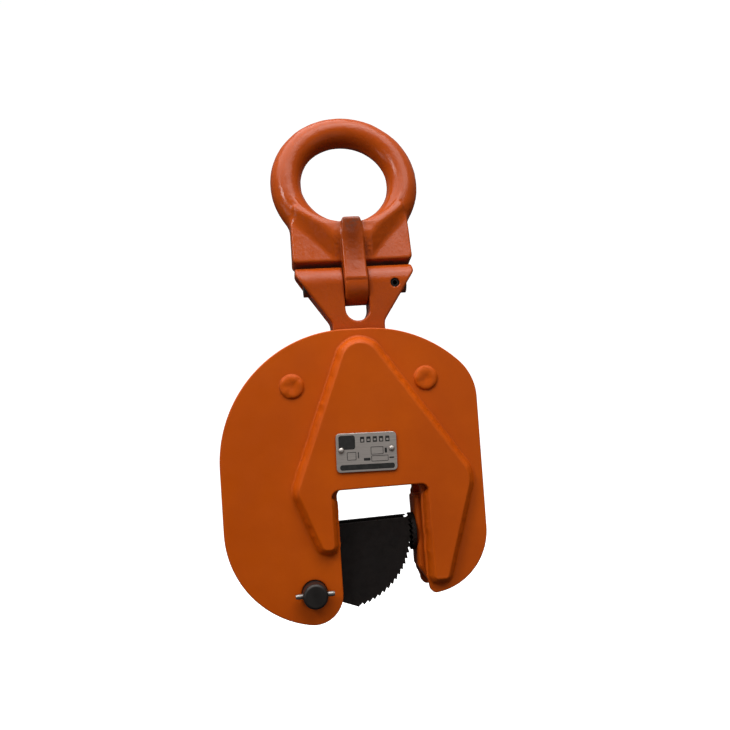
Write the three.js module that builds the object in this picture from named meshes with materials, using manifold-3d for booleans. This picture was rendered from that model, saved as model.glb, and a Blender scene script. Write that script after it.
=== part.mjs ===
// Vertical plate lifting clamp: a lifting eye, a pull plate, two side plates with welded
// reinforcement plates, and a toothed cam that closes on a fixed jaw pad.
// Millimetres, +Z up. The front faces -Y, and the load hangs along the line x = 0, y = 0.
// Heights are worked out from the jaw: height 0 is just above the mouth's ceiling, and the whole
// model is lowered at the end so that the origin is the hook seat inside the top of the eye's ring.
import * as THREE from "three";
import { mergeVertices } from "three/addons/utils/BufferGeometryUtils.js";
import Module from "manifold-3d";

const wasm = await Module();
wasm.setup();

// ---- thicknesses and gaps, front to back
const GAP = 0.3; // between pieces that touch or are welded together
const HALF_GAP = 10; // half the space between the side plates
const SIDE_T = 6; // side plate
const REINFORCEMENT_T = 6;
const BEAD_LEG = 3.8; // fillet weld round a reinforcement plate
const PULL_HALF = 9; // half the pull plate's thickness
const CAM_HALF = 8.5;
const FORK_HALF = 4.4; // half the slot in the cam's fork and in the pull plate's fork
const LINK_HALF = 4; // half the connecting link's thickness
const OUTER_Y = HALF_GAP + SIDE_T; // outer face of a side plate

// ---- side plate outline
const TOP_Z = 92.8;
const LEFT_X = -87.4;
const RIGHT_X = 67.5;
const TOP_LEFT_R = 77.2;
const TOP_RIGHT_R = 79.6;
const TOP_RIGHT_CX = 2.4;
const SHOULDER_R = 31.4;
const LOWER_LEFT = { x: -29.9, z: -21, r: 57.5 };
const LOWER_RIGHT_R = 36.3;
const LOWER_RIGHT_CZ = -30.1;
const LOBE = { x: -37.7, z: -61.1 };
const LEG_TIP_R = 3.5;
const LEG_TIP_Z = -66.4;
const LEAD_IN = 1.6; // how far the right leg's inner edge flares at its tip
const LEAD_IN_Z = -51.2; // where that flare begins

// ---- jaw mouth
const MOUTH_RIGHT = 29.2;
const MOUTH_CEILING = -1;
const MOUTH_CORNER_R = 4;

// ---- reinforcement plate outline, clockwise from the apex, as [x, z, radius]
const REINFORCEMENT_CORNERS = [
  [-4.8, 96.6, 11.2],
  [59, 1.9, 14],
  [40.5, -57.3, 2.2],
  [32.6, -57.3, 2.2],
  [32.6, MOUTH_CEILING, 4.5],
  [-24.7, MOUTH_CEILING, 4.5],
  [-24.7, -34.6, 2.5],
  [-31.1, -34.6, 3],
  [-43.9, -0.4, 9],
];

// ---- spacer rivets
const RIVET_LEFT = { x: -43.2, z: 60.8 };
const RIVET_RIGHT = { x: 36.8, z: 60.8 };
const RIVET_BODY_R = 8;
const RIVET_NECK_R = 5;
const RIVET_HEAD_R = 6.9;
const RIVET_HEAD_T = 1.6;

// ---- cam and its pin
const PIVOT = { x: -37.7, z: -59.3 };
const CAM_PIN_R = 7.2;
const CAM_PIN_HALF = 26;
const CAM_PIN_CHAMFER = 1.2;
const CAM_BORE_R = 7.45;
const CROSS_PIN_R = 1.5;
const CROSS_PIN_Y = 20.6;
const CROSS_PIN_HALF = 11.2;
const HUB_R = 12.5;
const CAM_CENTRE = { x: -20.1, z: -29.3 };
const CAM_R = 43;
const TOOTH_DEPTH = 1.5;
const TEETH = 19;
const TOOTH_START = -79; // degrees, about the cam's centre
const TOOTH_END = 10;
const TOOTH_SLOPE = 0.85; // share of the pitch that a tooth's long side takes
const CAM_BACK_X = -31.7; // the sector's straight back edge, above the hub
const CAM_SHOULDER_R = 8; // top of that edge
const HUB_FROM = 118; // degrees, where the hub's round side begins and ends
const HUB_TO = 330;
const ARM_LENGTH = 17;
const ARM_END_R = 8;
const ARM_ANGLE = 140; // degrees, from the cam pivot to the lower link pin
const LINK_PIN_R = 3.5;
const LINK_HOLE_R = 4.7; // open pivot: room for the constant-ratio coupling
const LINK_TOP = { x: -16, z: 44 };
const LINK_EYE_R = 8.3;
const LINK_SHANK_R = 5.4;
const LINK_SWING = 47; // degrees that the link turns against the cam
const SLOT_SIDE = 6.4;
const UPPER_PIN_R = 4;
const LINK_TOP_EYE_R = 9;
const SPRING_HOLE_ALONG = 30;
const SPRING_HOLE_ASIDE = 7;
const SPRING_HOLE_R = 2.4;
const SPRING_EAR_R = 4;

// ---- closing spring
const SPRING_ANCHOR = { x: -70, z: 36 };
const SPRING_ANCHOR_R = 2.5;
const SPRING_R = 3.6;
const SPRING_WIRE_R = 0.7;
const SPRING_TURNS = 11;
const SPRING_LEAD = 6; // straight wire at each end of the coil
const SPRING_SWELL = 1.5; // half the length over which the coil opens out
const SPRING_CLEAR_EAR = 5.2; // from the ear's hole to the wire's end
const SPRING_CLEAR_ANCHOR = 3.6;

// ---- fixed jaw
const PAD_FACE_X = 23.2;
const PAD_R = 11.2;
const PAD_Z = -31.2;
const PAD_STEM_R = 7;
const PAD_STEM_END_X = 38.5;
const PAD_PITCH = 2.8; // of the serrations
const PAD_GROOVE = 1;
const PAD_GROOVE_HALF_W = 1.15;
const JAW_FACE_X = 26;
const JAW_TOP_Z = -9.2;
const STEM_HOLE_END_X = 40;
const SCREW_R = 3;
const SCREW_START_X = 31;
const SCREW_HEAD_R = 5.5;
const SCREW_HEAD_X = 47.4; // underside of its head
const SCREW_END_X = 53;
const SOCKET_R = 2.9;
const SOCKET_X = 50;
const JAW_CORNERS = [
  [JAW_FACE_X, JAW_TOP_Z, 1],
  [JAW_FACE_X, -51.5, 2],
  [33.5, -63.2, 2],
  [46, -60, 6],
  [54, -48, 4],
  [54, JAW_TOP_Z, 3],
];

// ---- pull plate and hinge
const HINGE_Z = 120.2;
const HORN_HALF_W = 36.2;
const HORN_SIDE_Z = 127; // bottom of its upright sides
const HORN_RISE = 12; // above the hinge
const NECK_HALF_W = 16;
const NECK_Z = 97.4;
const FORK_TOP_Z = 58; // top of the slot that takes the link
const SLOT_HALF_W = 7.45;
const SLOT_BOTTOM_Z = 98.2;
const HINGE_PIN_R = 5.5;
const HINGE_BORE_R = 5.8;
const HINGE_PIN_HALF = 31.5;
const ROLL_PIN_X = 23.8;
const ROLL_PIN_R = 2.5;
const ROLL_PIN_BORE_R = 1.4;

// ---- lifting eye, in its own upright frame with the hinge at height 0
const EYE_TILT = 14; // degrees that the eye leans back
const RING_CENTRE = 70;
const RING_R = 37.3;
const RING_STOCK_R = 9.8;
const WEB_HALF_T = 11; // of the thick part between the rib and the ring
const KNUCKLE_R = 12;
const KNUCKLE_HALF_W = 7.05;
const RIB_HALF_T = 11.4;
const BLOCK_BOTTOM = 14;
const BLOCK_HALF_W = 37.2;
const BLOCK_TOP = 42;
const BLOCK_HALF_T = 8;
const RIB_TOP_DROP = 4; // below the ring's inside
const RIB_OVER_RING = 0.8; // how far the rib stands above the ring's inside

// ---- rating plate
const LABEL = { x: -2.7, z: 20, w: 36, h: 23, t: 0.8, r: 2.4 };
const LABEL_PIN_X = 14.8;
const LABEL_PIN_UP = 1.5; // above the plate's middle
const LABEL_PIN_R = 1.7;
const LABEL_PIN_HEAD = 1.1;
const LABEL_PIN_RIM = 0.3;
const LABEL_PIN_SHANK_R = 1;
const LABEL_PIN_SHANK = 4;

const ROUND = 20; // sides of a round pin or hole
const THIN = 12; // sides of a small one
const PIN_INSET = 0.4; // of a pin's ends inside the piece that holds it
const THROUGH = 60; // half the length of a cutter that goes right through
const BEYOND = 200; // outside everything
const degrees = THREE.MathUtils.degToRad;

// ---- solids

// A closed three.js geometry as a manifold-3d solid that faces outwards.
function solid(geometry) {
  const bare = geometry.index ? geometry.toNonIndexed() : geometry.clone();
  bare.deleteAttribute("normal");
  bare.deleteAttribute("uv");
  const merged = mergeVertices(bare, 1e-4);
  return new wasm.Manifold(
    new wasm.Mesh({
      numProp: 3,
      vertProperties: merged.attributes.position.array,
      triVerts: new Uint32Array(merged.index.array),
    }),
  );
}

// A shape drawn in x and z, made solid between two depths.
function plate(shape, y0, y1, curveSegments = 8) {
  const options = { depth: y1 - y0, bevelEnabled: false, curveSegments };
  const geometry = new THREE.ExtrudeGeometry(shape, options);
  return solid(geometry.rotateX(Math.PI / 2).translate(0, y1, 0));
}

// A round bar along Y from a profile of [radius, y] points, first and last on the axis.
function turned(profile, x, z, segments = ROUND) {
  const points = profile.map(([r, y]) => new THREE.Vector2(r, y));
  return solid(new THREE.LatheGeometry(points, segments).translate(x, 0, z));
}

// A plain cylinder along Y.
function rod(r, y0, y1, x, z, segments = ROUND) {
  return turned([[0, y0], [r, y0], [r, y1], [0, y1]], x, z, segments);
}

// A plain cylinder along X.
function crossRod(r, x0, x1, y, z, segments = ROUND) {
  const geometry = new THREE.CylinderGeometry(r, r, x1 - x0, segments);
  return solid(geometry.rotateZ(Math.PI / 2).translate((x0 + x1) / 2, y, z));
}

function box(x0, x1, y0, y1, z0, z1) {
  const geometry = new THREE.BoxGeometry(x1 - x0, y1 - y0, z1 - z0);
  return solid(geometry.translate((x0 + x1) / 2, (y0 + y1) / 2, (z0 + z1) / 2));
}

// ---- outlines

// A polygon with rounded corners; each corner is [x, z, radius].
function rounded(corners) {
  const shape = new THREE.Shape();
  corners.forEach(([x, z, r = 0], i) => {
    const before = corners.at(i - 1);
    const after = corners[(i + 1) % corners.length];
    const corner = new THREE.Vector2(x, z);
    const back = new THREE.Vector2(before[0] - x, before[1] - z).normalize();
    const on = new THREE.Vector2(after[0] - x, after[1] - z).normalize();
    const half = Math.acos(THREE.MathUtils.clamp(back.dot(on), -1, 1)) / 2;
    const turn = Math.sign(back.cross(on)) || 1;
    const reach = r / Math.tan(half);
    const start = corner.clone().addScaledVector(back, reach);
    if (i === 0) shape.moveTo(start.x, start.y);
    else shape.lineTo(start.x, start.y);
    if (!r) return;
    const middle = back.clone().add(on).normalize();
    const centre = corner.clone().addScaledVector(middle, r / Math.sin(half));
    const end = corner.clone().addScaledVector(on, reach);
    const a0 = Math.atan2(start.y - centre.y, start.x - centre.x);
    const a1 = Math.atan2(end.y - centre.y, end.x - centre.x);
    shape.absarc(centre.x, centre.y, r, a0, a1, turn > 0);
  });
  shape.closePath();
  return shape;
}

// The round outline that wraps two circles, each {x, z, r}.
function wrapped(a, b) {
  const shape = new THREE.Shape();
  const along = Math.atan2(b.z - a.z, b.x - a.x);
  const open = Math.acos((a.r - b.r) / Math.hypot(b.x - a.x, b.z - a.z));
  shape.absarc(a.x, a.z, a.r, along + open, along - open, false);
  shape.absarc(b.x, b.z, b.r, along - open, along + open, false);
  shape.closePath();
  return shape;
}

function polar(centre, r, angle) {
  return { x: centre.x + r * Math.cos(angle), z: centre.z + r * Math.sin(angle) };
}

// ---- side plates

const lobeR = LOWER_LEFT.r - Math.hypot(LOBE.x - LOWER_LEFT.x, LOBE.z - LOWER_LEFT.z);
const MOUTH_LEFT = LOBE.x + lobeR;

// Arcs that meet tangentially, drawn anticlockwise from the top of the right shoulder.
function sideOutline() {
  const topRight = { x: TOP_RIGHT_CX, z: TOP_Z - TOP_RIGHT_R };
  const topLeft = { x: LEFT_X + TOP_LEFT_R, z: TOP_Z - TOP_LEFT_R };
  const reach = TOP_RIGHT_R - SHOULDER_R;
  const shoulderX = RIGHT_X - SHOULDER_R;
  const rise = Math.sqrt(reach ** 2 - (shoulderX - topRight.x) ** 2);
  const shoulder = { x: shoulderX, z: topRight.z + rise };
  const meet = Math.atan2(rise, shoulderX - topRight.x);
  const lowerRight = { x: RIGHT_X - LOWER_RIGHT_R, z: LOWER_RIGHT_CZ };
  const lobeMeet = Math.atan2(LOBE.z - LOWER_LEFT.z, LOBE.x - LOWER_LEFT.x);
  const tip = { x: MOUTH_RIGHT + LEAD_IN + LEG_TIP_R };
  tip.z = LOWER_RIGHT_CZ - Math.sqrt((LOWER_RIGHT_R - LEG_TIP_R) ** 2 - (tip.x - lowerRight.x) ** 2);
  const tipMeet = Math.atan2(tip.z - lowerRight.z, tip.x - lowerRight.x);
  const corner = MOUTH_CORNER_R;
  const cornerZ = MOUTH_CEILING - corner;
  const s = new THREE.Shape();
  s.absarc(topRight.x, topRight.z, TOP_RIGHT_R, meet, Math.PI / 2, false);
  s.absarc(topLeft.x, topLeft.z, TOP_LEFT_R, Math.PI / 2, Math.PI, false);
  s.absarc(LOWER_LEFT.x, LOWER_LEFT.z, LOWER_LEFT.r, Math.PI, lobeMeet + 2 * Math.PI, false);
  s.absarc(LOBE.x, LOBE.z, lobeR, lobeMeet, 0, false);
  s.absarc(MOUTH_LEFT + corner, cornerZ, corner, Math.PI, Math.PI / 2, true);
  s.absarc(MOUTH_RIGHT - corner, cornerZ, corner, Math.PI / 2, 0, true);
  s.lineTo(MOUTH_RIGHT, LEAD_IN_Z);
  s.absarc(tip.x, tip.z, LEG_TIP_R, Math.PI, tipMeet + 2 * Math.PI, false);
  s.absarc(lowerRight.x, lowerRight.z, LOWER_RIGHT_R, tipMeet, 0, false);
  s.absarc(shoulder.x, shoulder.z, SHOULDER_R, 0, meet, false);
  s.closePath();
  return s;
}

function sidePlate(front) {
  const [y0, y1] = front ? [-OUTER_Y, -HALF_GAP] : [HALF_GAP, OUTER_Y];
  let body = plate(sideOutline(), y0, y1, 11);
  for (const { x, z } of [RIVET_LEFT, RIVET_RIGHT]) {
    body = body.subtract(rod(RIVET_NECK_R + GAP, y0 - 1, y1 + 1, x, z));
  }
  return body.subtract(rod(CAM_PIN_R + GAP, y0 - 1, y1 + 1, PIVOT.x, PIVOT.z));
}

// ---- reinforcement plates

// A plate whose edges slope out to the toe of its fillet weld, kept out of the mouth.
function reinforcement(front) {
  const depth = REINFORCEMENT_T - GAP;
  const options = {
    depth: 1,
    bevelThickness: depth,
    bevelSize: BEAD_LEG,
    bevelSegments: 1,
    curveSegments: 5,
  };
  const bevelled = new THREE.ExtrudeGeometry(rounded(REINFORCEMENT_CORNERS), options);
  let body = solid(bevelled.rotateX(Math.PI / 2));
  body = body.intersect(box(-BEYOND, BEYOND, -1, depth, -BEYOND, BEYOND)).mirror([0, 1, 0]);
  const mouth = box(MOUTH_LEFT, MOUTH_RIGHT, -depth - 1, 2, LEG_TIP_Z, MOUTH_CEILING);
  const shelf = box(-BEYOND, BEYOND, 0, 2, -BEYOND, BEYOND);
  body = body.subtract(mouth).subtract(shelf).translate([0, -OUTER_Y - GAP, 0]);
  return front ? body : body.mirror([0, 1, 0]);
}

// ---- spacer rivets

// One bar that holds the side plates apart, with a neck and a flat head at each end.
function spacerRivet({ x, z }) {
  const shoulder = HALF_GAP - GAP;
  const under = OUTER_Y + GAP;
  const top = under + RIVET_HEAD_T;
  const half = [
    [RIVET_HEAD_R, top],
    [RIVET_HEAD_R, under],
    [RIVET_NECK_R, under],
    [RIVET_NECK_R, shoulder],
    [RIVET_BODY_R, shoulder],
  ];
  const lower = half.map(([r, y]) => [r, -y]);
  return turned([[0, -top], ...lower, ...half.toReversed(), [0, top]], x, z, 18);
}

// ---- cam

const armPin = polar(PIVOT, ARM_LENGTH, degrees(ARM_ANGLE));
const linkAngle = Math.atan2(LINK_TOP.z - armPin.z, LINK_TOP.x - armPin.x);

// The toothed face, from its lower end round to its upper end.
function toothedArc() {
  const pitch = degrees(TOOTH_END - TOOTH_START) / TEETH;
  const points = [];
  for (let i = 0; i < TEETH; i++) {
    const angle = degrees(TOOTH_START) + i * pitch;
    points.push(polar(CAM_CENTRE, CAM_R, angle));
    points.push(polar(CAM_CENTRE, CAM_R - TOOTH_DEPTH, angle + TOOTH_SLOPE * pitch));
  }
  points.push(polar(CAM_CENTRE, CAM_R, degrees(TOOTH_END)));
  return points;
}

// The toothed sector, whose left edge runs down to the hub.
function camSector() {
  const s = new THREE.Shape();
  const [first, ...rest] = toothedArc();
  s.moveTo(first.x, first.z);
  rest.forEach(({ x, z }) => s.lineTo(x, z));
  const shoulderX = CAM_BACK_X + CAM_SHOULDER_R;
  s.absarc(shoulderX, rest.at(-1).z - CAM_SHOULDER_R - 0.7, CAM_SHOULDER_R, Math.PI / 2, Math.PI, false);
  s.absarc(PIVOT.x, PIVOT.z, HUB_R, degrees(HUB_FROM), degrees(HUB_TO), false);
  s.closePath();
  return s;
}

function cam() {
  const arm = wrapped({ ...PIVOT, r: HUB_R }, { ...armPin, r: ARM_END_R });
  let body = plate(camSector(), -CAM_HALF, CAM_HALF).add(plate(arm, -CAM_HALF, CAM_HALF));
  body = body.subtract(forkSlot());
  body = body.subtract(rod(CAM_BORE_R, -THROUGH, THROUGH, PIVOT.x, PIVOT.z));
  return body.subtract(rod(LINK_PIN_R + GAP, -THROUGH, THROUGH, armPin.x, armPin.z));
}

// The fork's slot: the fan that the link covers as the cam turns under it.
function forkSlot() {
  const spread = degrees(LINK_SWING);
  const lower = polar(armPin, SLOT_SIDE, linkAngle - spread - Math.PI / 2);
  const upper = polar(armPin, SLOT_SIDE, linkAngle + Math.PI / 2);
  const s = new THREE.Shape();
  s.moveTo(lower.x, lower.z);
  for (const [start, angle] of [[lower, linkAngle - spread], [upper, linkAngle]]) {
    const far = polar(start, 2 * THROUGH, angle);
    s.lineTo(far.x, far.z);
  }
  s.lineTo(upper.x, upper.z);
  s.closePath();
  const eye = rod(LINK_EYE_R + 1, -FORK_HALF, FORK_HALF, armPin.x, armPin.z);
  return plate(s, -FORK_HALF, FORK_HALF).add(eye);
}

// A straight pin with chamfered ends.
function chamferedPin(r, half, chamfer, x, z) {
  const profile = [[0, -half], [r - chamfer, -half], [r, chamfer - half]];
  const mirrored = profile.map(([a, b]) => [a, -b]).toReversed();
  return turned([...profile, ...mirrored], x, z);
}

function camPin() {
  let body = chamferedPin(CAM_PIN_R, CAM_PIN_HALF, CAM_PIN_CHAMFER, PIVOT.x, PIVOT.z);
  for (const y of [-CROSS_PIN_Y, CROSS_PIN_Y]) {
    body = body.subtract(crossRod(CROSS_PIN_R + GAP, -THROUGH, THROUGH, y, PIVOT.z, THIN));
  }
  return body;
}

function crossPin(y) {
  const [x0, x1] = [PIVOT.x - CROSS_PIN_HALF, PIVOT.x + CROSS_PIN_HALF];
  return crossRod(CROSS_PIN_R, x0, x1, y, PIVOT.z, THIN);
}

// ---- connecting link between the pull plate and the cam's arm

const springHole = polar(
  polar(armPin, SPRING_HOLE_ALONG, linkAngle),
  SPRING_HOLE_ASIDE,
  linkAngle + Math.PI / 2,
);

function connectingLink() {
  const shank = wrapped({ ...armPin, r: LINK_SHANK_R }, { ...LINK_TOP, r: LINK_SHANK_R });
  let body = plate(shank, -LINK_HALF, LINK_HALF);
  body = body.add(rod(LINK_EYE_R, -LINK_HALF, LINK_HALF, armPin.x, armPin.z));
  body = body.add(rod(LINK_TOP_EYE_R, -LINK_HALF, LINK_HALF, LINK_TOP.x, LINK_TOP.z));
  const root = polar(armPin, SPRING_HOLE_ALONG, linkAngle);
  const ear = wrapped({ ...springHole, r: SPRING_EAR_R }, { ...root, r: LINK_SHANK_R - 1 });
  body = body.add(plate(ear, -LINK_HALF, LINK_HALF));
  body = body.subtract(rod(SPRING_HOLE_R, -THROUGH, THROUGH, springHole.x, springHole.z, 16));
  body = body.subtract(rod(LINK_HOLE_R, -THROUGH, THROUGH, armPin.x, armPin.z));
  return body.subtract(rod(UPPER_PIN_R + GAP, -THROUGH, THROUGH, LINK_TOP.x, LINK_TOP.z));
}

// ---- closing spring

const springAngle = Math.atan2(SPRING_ANCHOR.z - springHole.z, SPRING_ANCHOR.x - springHole.x);
const springStart = polar(springHole, SPRING_CLEAR_EAR, springAngle);
const springEnd = polar(SPRING_ANCHOR, -SPRING_CLEAR_ANCHOR, springAngle);

// A helix along the line from the link's ear to the anchor, straight and centred at both ends.
class SpringCurve extends THREE.Curve {
  getPoint(t, target = new THREE.Vector3()) {
    const dx = springEnd.x - springStart.x;
    const dz = springEnd.z - springStart.z;
    const length = Math.hypot(dx, dz);
    const s = t * length;
    const inside = Math.min(s, length - s) - SPRING_LEAD;
    const swell = THREE.MathUtils.smoothstep(inside, -SPRING_SWELL, SPRING_SWELL);
    const turn = (s / length) * SPRING_TURNS * 2 * Math.PI;
    const aside = SPRING_R * swell * Math.cos(turn);
    const ux = dx / length;
    const uz = dz / length;
    return target.set(
      springStart.x + ux * s - uz * aside,
      SPRING_R * swell * Math.sin(turn),
      springStart.z + uz * s + ux * aside,
    );
  }
}

function spring() {
  const section = new THREE.Shape();
  section.absarc(0, 0, SPRING_WIRE_R, 0, 2 * Math.PI, false);
  const options = { steps: 110, curveSegments: 2, extrudePath: new SpringCurve() };
  return solid(new THREE.ExtrudeGeometry(section, options));
}

// ---- fixed jaw

function jawBlock() {
  let body = plate(rounded(JAW_CORNERS), -HALF_GAP + GAP, HALF_GAP - GAP, 5);
  body = body.subtract(crossRod(PAD_STEM_R + GAP, 0, STEM_HOLE_END_X, 0, PAD_Z));
  body = body.subtract(crossRod(SCREW_R + GAP, SCREW_START_X, THROUGH, 0, PAD_Z));
  return body.subtract(crossRod(SCREW_HEAD_R + 0.5, SCREW_HEAD_X - GAP, THROUGH, 0, PAD_Z));
}

// A serrated button with a stem that sits in the jaw block.
function jawPad() {
  let body = crossRod(PAD_R, PAD_FACE_X, JAW_FACE_X - GAP, 0, PAD_Z, 24);
  const outside = PAD_FACE_X - 0.1;
  for (let i = -3; i <= 3; i++) {
    const z = PAD_Z + i * PAD_PITCH;
    const cut = new THREE.Shape();
    cut.moveTo(outside, z - PAD_GROOVE_HALF_W);
    cut.lineTo(PAD_FACE_X + PAD_GROOVE, z);
    cut.lineTo(outside, z + PAD_GROOVE_HALF_W);
    cut.closePath();
    body = body.subtract(plate(cut, -THROUGH, THROUGH));
  }
  body = body.add(crossRod(PAD_STEM_R, PAD_FACE_X + PAD_GROOVE + 0.5, PAD_STEM_END_X, 0, PAD_Z));
  return body.subtract(crossRod(SCREW_R + GAP, SCREW_START_X - 1, THROUGH, 0, PAD_Z));
}

// A cap screw that holds the pad from the far side of the jaw block.
function padScrew() {
  const head = crossRod(SCREW_HEAD_R, SCREW_HEAD_X, SCREW_END_X, 0, PAD_Z);
  const socket = crossRod(SOCKET_R, SOCKET_X, THROUGH, 0, PAD_Z, 6);
  return crossRod(SCREW_R, SCREW_START_X, SCREW_HEAD_X + 0.6, 0, PAD_Z).add(head).subtract(socket);
}

// ---- pull plate

function pullOutline() {
  return rounded([
    [-HORN_HALF_W, HINGE_Z + 20, 0],
    [-HORN_HALF_W, HORN_SIDE_Z, 2],
    [-NECK_HALF_W, NECK_Z, 6],
    [-NECK_HALF_W, 72, 14],
    [-28, 56, 9],
    [-28, 33, 11],
    [-4, 33, 10],
    [6, 54, 10],
    [NECK_HALF_W, 66, 12],
    [NECK_HALF_W, NECK_Z, 6],
    [HORN_HALF_W, HORN_SIDE_Z, 2],
    [HORN_HALF_W, HINGE_Z + 20, 0],
  ]);
}

function pullPlate() {
  let body = plate(pullOutline(), -PULL_HALF, PULL_HALF, 4);
  const below = box(-THROUGH, THROUGH, -PULL_HALF, PULL_HALF, 0, HINGE_Z);
  const bar = crossRod(PULL_HALF, -HORN_HALF_W, HORN_HALF_W, 0, 0, 24);
  const crown = bar.scale([1, 1, HORN_RISE / PULL_HALF]).translate([0, 0, HINGE_Z]);
  body = body.intersect(below.add(crown));
  const slotZ = SLOT_BOTTOM_Z + SLOT_HALF_W;
  body = body.subtract(box(-SLOT_HALF_W, SLOT_HALF_W, -THROUGH, THROUGH, slotZ, BEYOND));
  body = body.subtract(rod(SLOT_HALF_W, -THROUGH, THROUGH, 0, slotZ, 24));
  body = body.subtract(box(-THROUGH, THROUGH, -FORK_HALF, FORK_HALF, 0, FORK_TOP_Z));
  body = body.subtract(crossRod(HINGE_PIN_R + GAP, -THROUGH, THROUGH, 0, HINGE_Z));
  body = body.subtract(rod(ROLL_PIN_R + GAP, -THROUGH, THROUGH, ROLL_PIN_X, HINGE_Z, THIN));
  return body.subtract(rod(UPPER_PIN_R + GAP, -THROUGH, THROUGH, LINK_TOP.x, LINK_TOP.z));
}

function hingePin() {
  const body = crossRod(HINGE_PIN_R, -HINGE_PIN_HALF, HINGE_PIN_HALF, 0, HINGE_Z);
  return body.subtract(rod(ROLL_PIN_R + GAP, -THROUGH, THROUGH, ROLL_PIN_X, HINGE_Z, THIN));
}

// A hollow spring pin, front to back through the horn and the hinge pin.
function rollPin() {
  const half = PULL_HALF - 1;
  const body = rod(ROLL_PIN_R, -half, half, ROLL_PIN_X, HINGE_Z, THIN);
  return body.subtract(rod(ROLL_PIN_BORE_R, -THROUGH, THROUGH, ROLL_PIN_X, HINGE_Z, THIN));
}

// ---- lifting eye

function lifterEye() {
  const ring = new THREE.TorusGeometry(RING_R, RING_STOCK_R, 12, 36);
  let body = solid(ring.rotateX(Math.PI / 2).translate(0, 0, RING_CENTRE));
  const block = rounded([
    [-BLOCK_HALF_W, BLOCK_BOTTOM, 1.5],
    [BLOCK_HALF_W, BLOCK_BOTTOM, 1.5],
    [BLOCK_HALF_W, BLOCK_TOP, 2],
    [-BLOCK_HALF_W, BLOCK_TOP, 2],
  ]);
  const hole = rod(RING_R, -THROUGH, THROUGH, 0, RING_CENTRE, 36);
  body = body.add(plate(block, -BLOCK_HALF_T, BLOCK_HALF_T, 4).subtract(hole));
  const web = rounded([
    [-34, BLOCK_TOP, 2],
    [34, BLOCK_TOP, 2],
    [12, BLOCK_BOTTOM + 2, 2],
    [-12, BLOCK_BOTTOM + 2, 2],
  ]);
  body = body.add(plate(web, -WEB_HALF_T, WEB_HALF_T, 4).subtract(hole));
  const half = KNUCKLE_HALF_W;
  const ribTop = RING_CENTRE - RING_R + RING_STOCK_R - RIB_TOP_DROP;
  const seat = rod(RING_R - RING_STOCK_R - RIB_OVER_RING, -THROUGH, THROUGH, 0, RING_CENTRE, 36);
  body = body.add(box(-half, half, -RIB_HALF_T, RIB_HALF_T, 0, ribTop)).subtract(seat);
  body = body.add(crossRod(KNUCKLE_R, -half, half, 0, 0, 28));
  body = body.subtract(crossRod(HINGE_BORE_R, -THROUGH, THROUGH, 0, 0));
  return body.rotate([-EYE_TILT, 0, 0]).translate([0, 0, HINGE_Z]);
}

// ---- rating plate

function ratingPlate() {
  const { x, z, w, h, t, r } = LABEL;
  const [x0, x1, z0, z1] = [x - w / 2, x + w / 2, z - h / 2, z + h / 2];
  const face = -OUTER_Y - REINFORCEMENT_T - GAP;
  const outline = rounded([[x0, z0, r], [x1, z0, r], [x1, z1, r], [x0, z1, r]]);
  let body = plate(outline, face - t, face, 5);
  for (const side of [-1, 1]) {
    body = body.subtract(labelPinHole(side));
  }
  return body;
}

function labelPinHole(side) {
  const x = LABEL.x + side * LABEL_PIN_X;
  return rod(LABEL_PIN_SHANK_R + GAP, -THROUGH, -OUTER_Y, x, LABEL.z + LABEL_PIN_UP, THIN);
}

function drilledReinforcement() {
  return reinforcement(true).subtract(labelPinHole(-1)).subtract(labelPinHole(1));
}

// A drive pin with a round head, let into the reinforcement plate.
function labelPin(side) {
  const face = -(OUTER_Y + REINFORCEMENT_T + GAP + LABEL.t + GAP);
  const profile = [
    [0, face - LABEL_PIN_HEAD],
    [LABEL_PIN_R, face - LABEL_PIN_RIM],
    [LABEL_PIN_R, face],
    [LABEL_PIN_SHANK_R, face],
    [LABEL_PIN_SHANK_R, face + LABEL_PIN_SHANK],
    [0, face + LABEL_PIN_SHANK],
  ];
  return turned(profile, LABEL.x + side * LABEL_PIN_X, LABEL.z + LABEL_PIN_UP, THIN);
}

function anchorPin() {
  return chamferedPin(SPRING_ANCHOR_R, HALF_GAP - GAP, 0.5, SPRING_ANCHOR.x, SPRING_ANCHOR.z);
}

// ---- the assembly

const orange = { color: 0xc4521a, roughness: 0.35, metalness: 0 };
const black = { color: 0x191616, roughness: 0.45, metalness: 0.6 };
const steel = { color: 0x8d8b88, roughness: 0.4, metalness: 0.9 };
const aluminium = { color: 0xa7a6a4, roughness: 0.45, metalness: 0.8 };

const clamp = new THREE.Group();
const hookSeat = RING_CENTRE + RING_R - RING_STOCK_R;
const tilt = degrees(EYE_TILT);
clamp.position.set(0, -hookSeat * Math.sin(tilt), -HINGE_Z - hookSeat * Math.cos(tilt));

function piece(name, body, finish) {
  const { numProp, vertProperties, triVerts } = body.getMesh();
  const geometry = new THREE.BufferGeometry();
  geometry.setAttribute("position", new THREE.BufferAttribute(vertProperties, numProp));
  geometry.setIndex(new THREE.BufferAttribute(triVerts, 1));
  const mesh = new THREE.Mesh(geometry, new THREE.MeshStandardMaterial(finish));
  mesh.name = name;
  clamp.add(mesh);
}

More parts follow.
